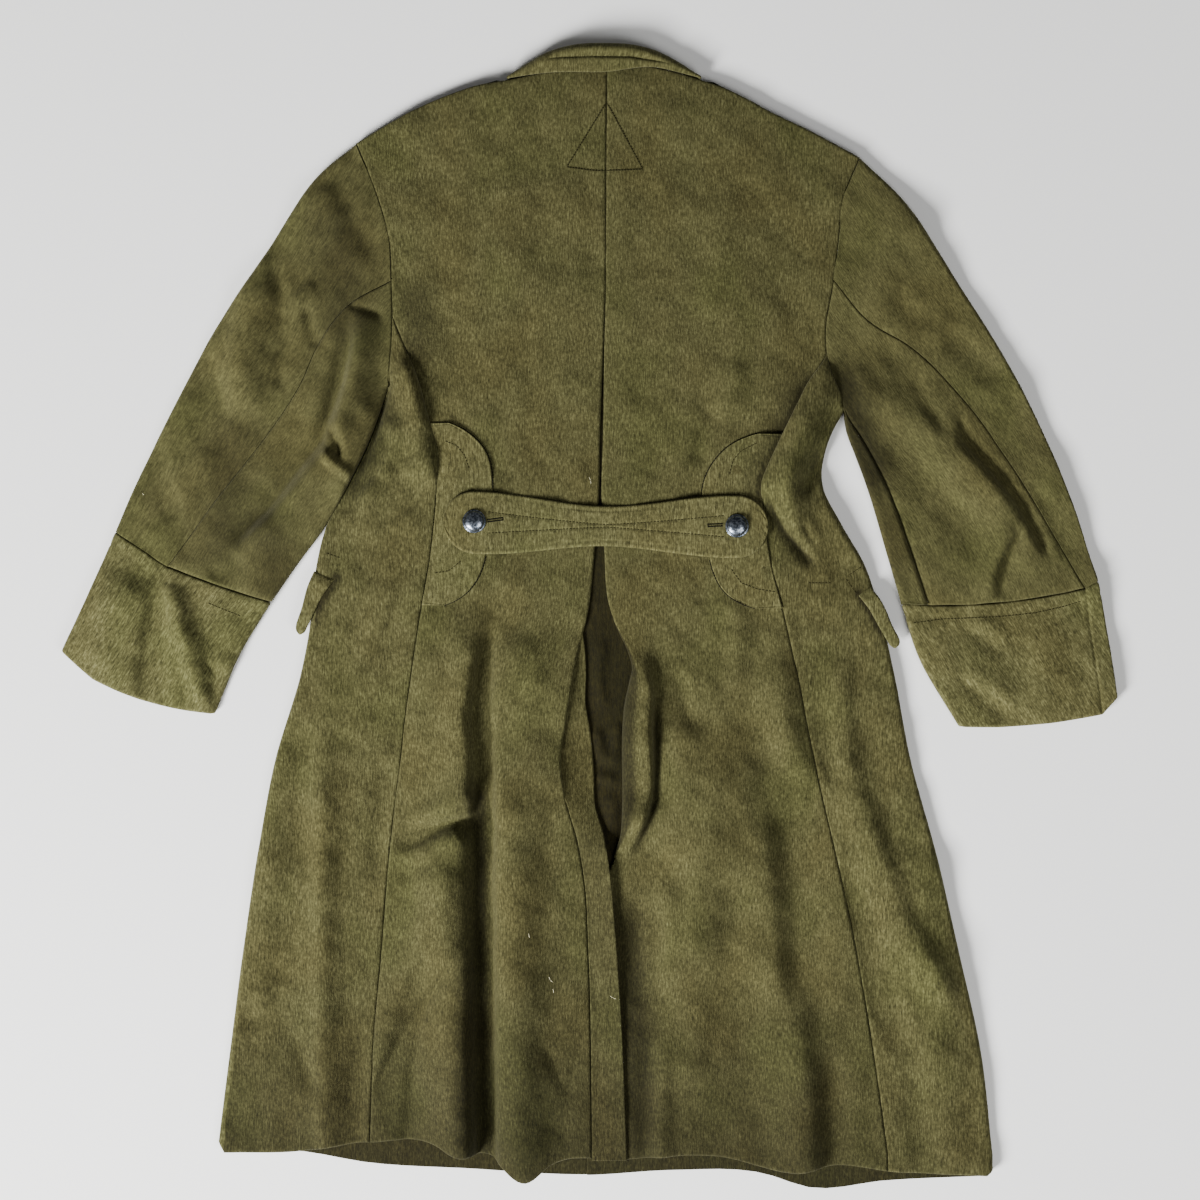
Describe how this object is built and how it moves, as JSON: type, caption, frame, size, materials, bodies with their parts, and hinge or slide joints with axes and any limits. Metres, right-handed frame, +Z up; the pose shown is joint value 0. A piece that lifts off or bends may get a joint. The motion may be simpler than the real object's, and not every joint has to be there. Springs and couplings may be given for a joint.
{
  "type": "military greatcoat",
  "caption": "Long wool military greatcoat laid flat, back upwards: turned-down collar, set-in sleeves with deep cuffs, buttoned half belt on round patches, pocket flaps and a lapped back vent.",
  "frame": {"origin": "on the floor, under the middle of the coat's box", "axes": "+Y runs from the hem to the collar, +X to the wearer's right, and +Z up from the floor through the back"},
  "size_m": [1.058, 1.1432, 0.0272],
  "materials": {
    "milled_wool": "olive milled wool with a brushed nap, matt",
    "milled_wool_inside": "olive milled wool on its inner side, matt",
    "button_metal": "dark grey domed button, half gloss"
  },
  "bodies": {
    "root": {"front_left": "milled_wool", "front_right": "milled_wool", "back_left": "milled_wool", "back_right": "milled_wool", "pleat_inlay": "milled_wool_inside", "vent_facing": "milled_wool", "sleeve_top_left": "milled_wool", "sleeve_top_right": "milled_wool", "sleeve_under_left": "milled_wool", "sleeve_under_right": "milled_wool", "cuff_left": "milled_wool", "cuff_right": "milled_wool", "collar": "milled_wool", "half_belt": "milled_wool", "belt_patch_left": "milled_wool", "belt_patch_right": "milled_wool", "pocket_flap_left": "milled_wool", "pocket_flap_right": "milled_wool", "belt_button_left": "button_metal", "belt_button_right": "button_metal"}
  },
  "joints": []
}
